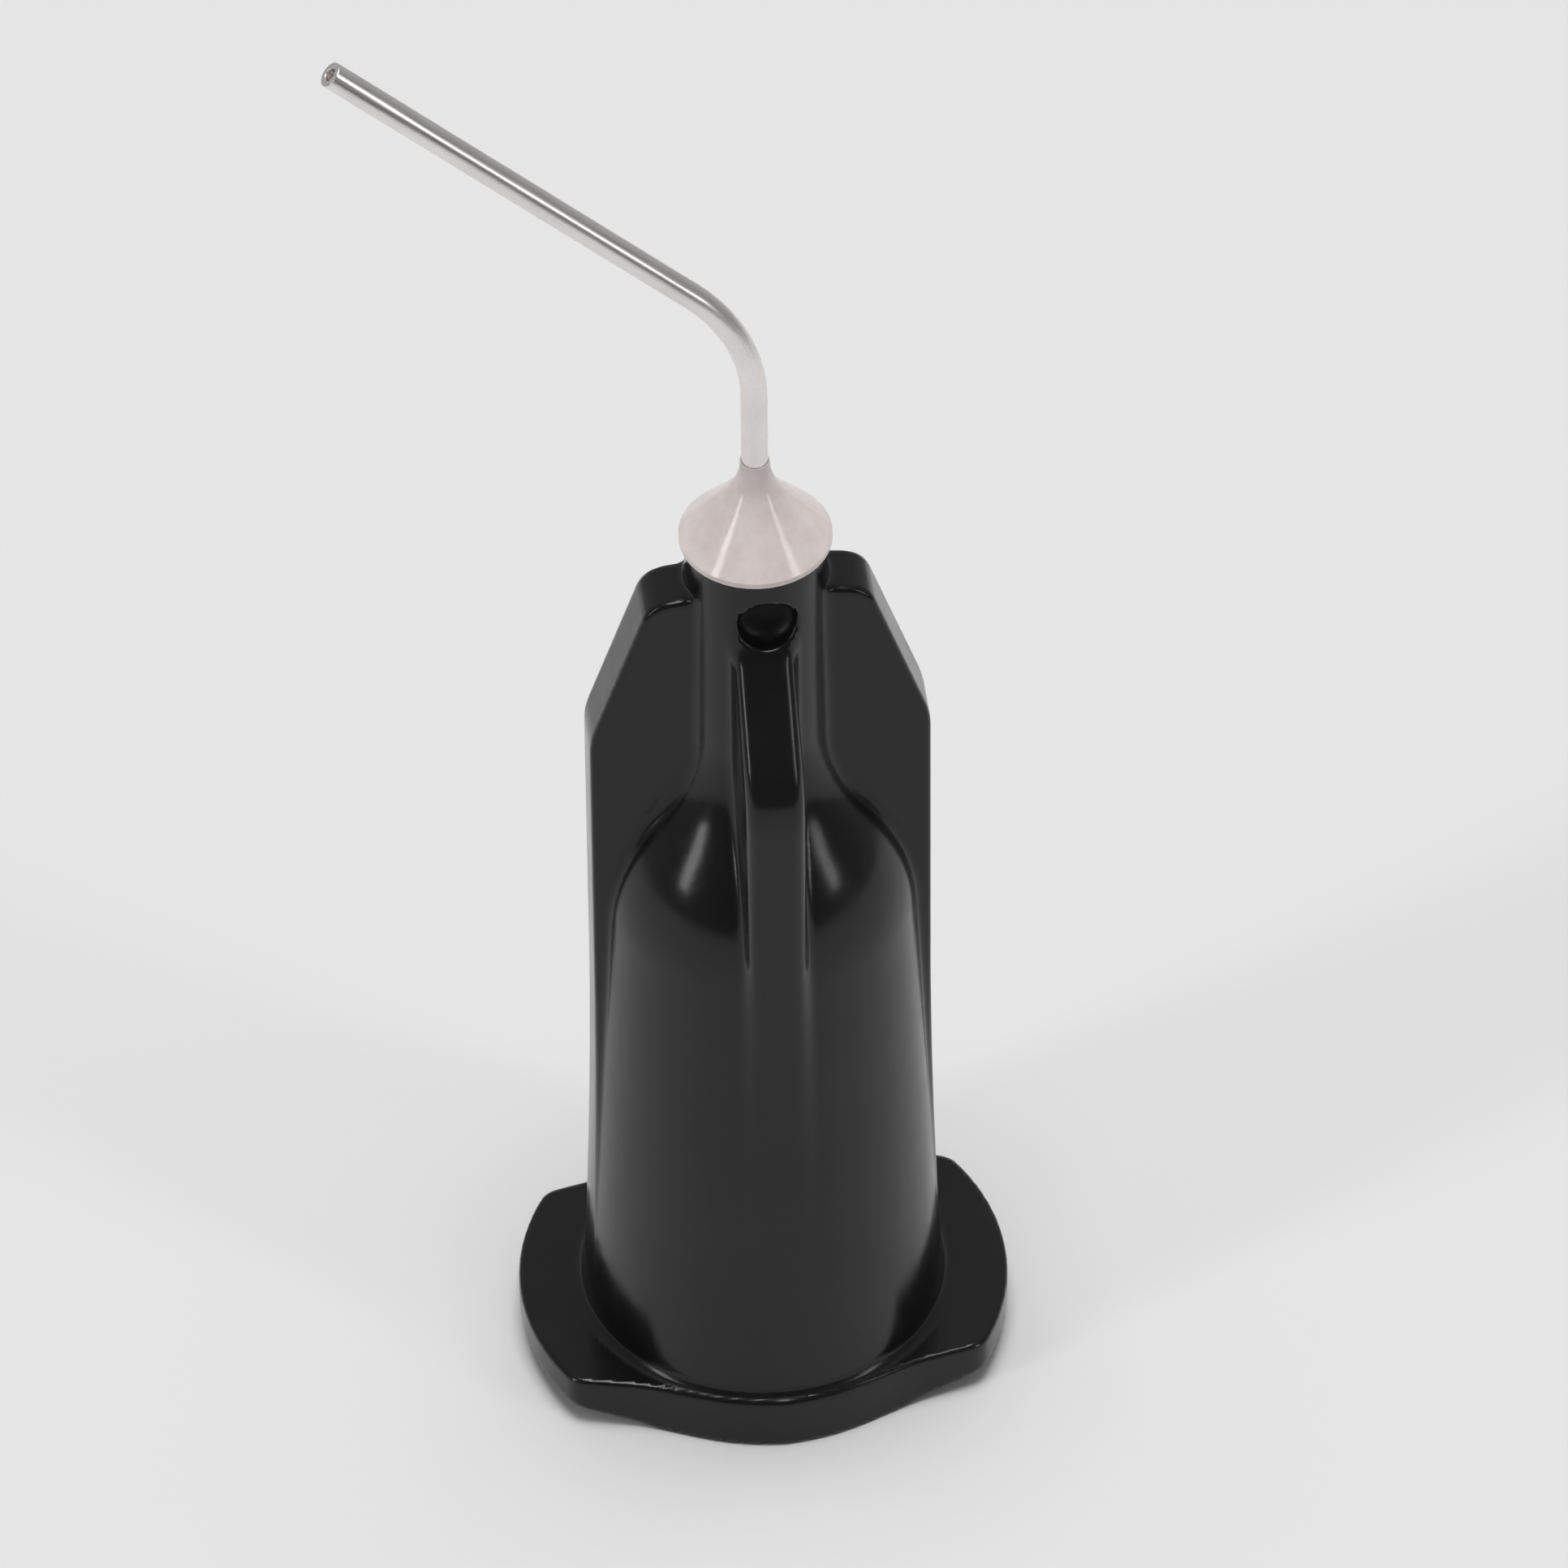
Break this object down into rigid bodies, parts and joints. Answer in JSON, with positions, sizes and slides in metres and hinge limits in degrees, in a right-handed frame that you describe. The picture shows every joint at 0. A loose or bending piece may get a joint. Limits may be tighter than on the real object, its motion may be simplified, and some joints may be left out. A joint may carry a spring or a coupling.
{
  "type": "dispensing needle tip",
  "caption": "Bent dispensing needle tip: black moulded hub with tapered socket, lugs, wings and ribs, fine steel cannula and pale adhesive cone.",
  "frame": {"origin": "centre of the socket mouth, in the plane of the mouth face the hub stands on", "axes": "+Z along the hub towards the cannula, +X and -X through the side wings and lugs with the cannula bent towards -X, -Y through the front rib with the gate pocket"},
  "size_m": [0.0102, 0.006, 0.0275],
  "materials": {
    "hub": "glossy",
    "adhesive": "satin",
    "steel": "satin"
  },
  "bodies": {
    "root": {"hub": "hub", "adhesive_cone": "adhesive", "cannula": "steel"}
  },
  "joints": []
}
